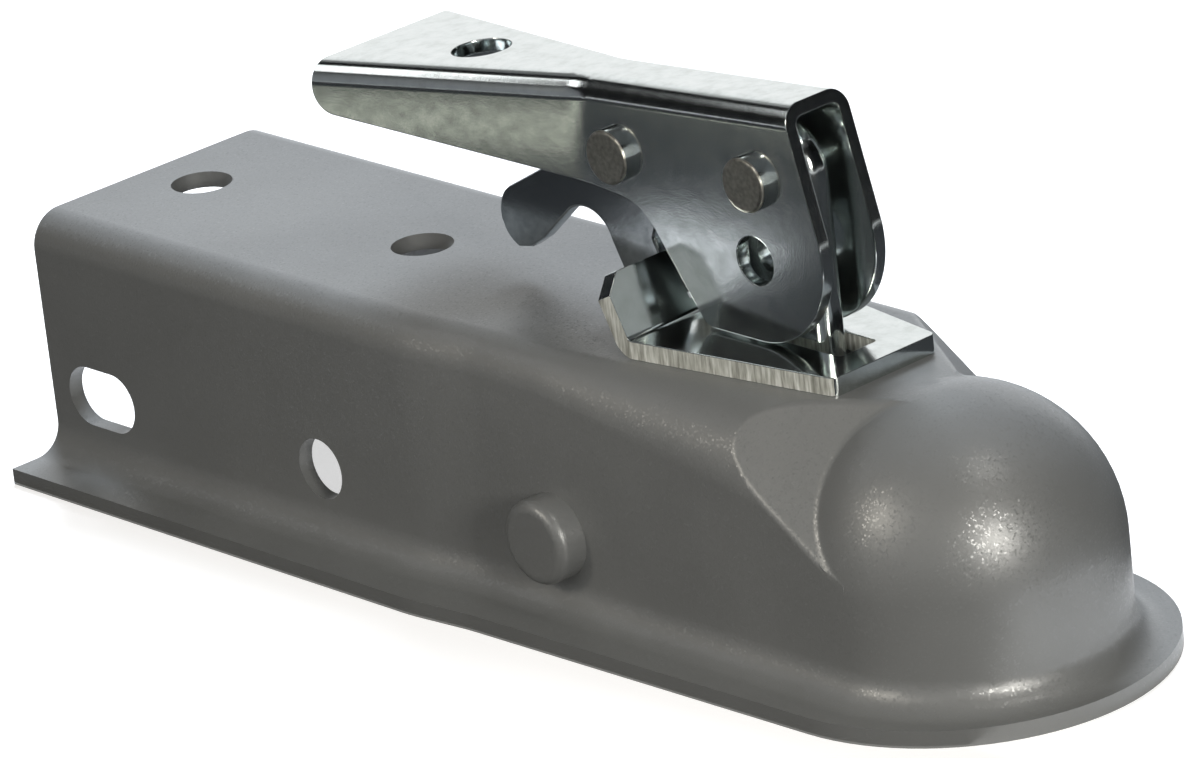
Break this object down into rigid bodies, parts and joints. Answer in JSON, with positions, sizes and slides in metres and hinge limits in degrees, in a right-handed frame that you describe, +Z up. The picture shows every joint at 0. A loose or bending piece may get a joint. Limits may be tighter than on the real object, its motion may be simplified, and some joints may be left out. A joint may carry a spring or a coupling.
{
  "type": "trailer coupling head",
  "caption": "Pressed-steel ball coupling head for a trailer tongue: channel body with dome and flange, and a cam latch handle with a finger trigger that draws a clamp up under the ball.",
  "frame": {"origin": "where the ball's upright axis meets the plane of the flange's underside", "axes": "+X forward to the ball end, +Z up"},
  "size_m": [0.2349, 0.0798, 0.0936],
  "materials": {
    "body_paint": "satin grey paint with a fine metallic sparkle",
    "zinc_plate": "bright zinc plate, slightly mottled",
    "spring_wire": "oiled spring wire"
  },
  "bodies": {
    "body": {"coupler_body": "body_paint", "cross_rivet": "body_paint", "latch_plate": "zinc_plate", "clamp_spring": "spring_wire"},
    "draw_bar": {"draw_bar": "zinc_plate", "clamp_washer": "zinc_plate", "adjusting_nut": "zinc_plate"},
    "handle": {"handle": "zinc_plate", "front_rivet": "zinc_plate", "rear_rivet": "zinc_plate"},
    "trigger": {"trigger": "zinc_plate", "trigger_spring": "spring_wire"},
    "ball_clamp": {"ball_clamp": "zinc_plate"}
  },
  "joints": [
    {"name": "bar_drop", "type": "slide", "parent": "body", "child": "draw_bar", "axis": [0, 0, -1], "range_m": [0, 0.007]},
    {"name": "handle_lift", "type": "hinge", "parent": "draw_bar", "child": "handle", "pos_m": [-0.034, 0, 0.07925], "axis": [0, 1, 0], "range_deg": [0, 95]},
    {"name": "trigger_pull", "type": "hinge", "parent": "handle", "child": "trigger", "pos_m": [-0.0669, 0, 0.0778], "axis": [0, 1, 0], "range_deg": [0, 12], "stiffness_Nm_per_rad": 0.8, "springref_deg": -11.46},
    {"name": "clamp_open", "type": "hinge", "parent": "body", "child": "ball_clamp", "pos_m": [-0.0695, 0, 0.016], "axis": [0, 1, 0], "range_deg": [0, 8.9], "deforming": ["clamp_spring"]}
  ],
  "couplings": [
    {"joint": "bar_drop", "follows": "handle_lift", "m_per_rad": 0.0042},
    {"joint": "clamp_open", "follows": "handle_lift", "ratio": 0.093}
  ]
}
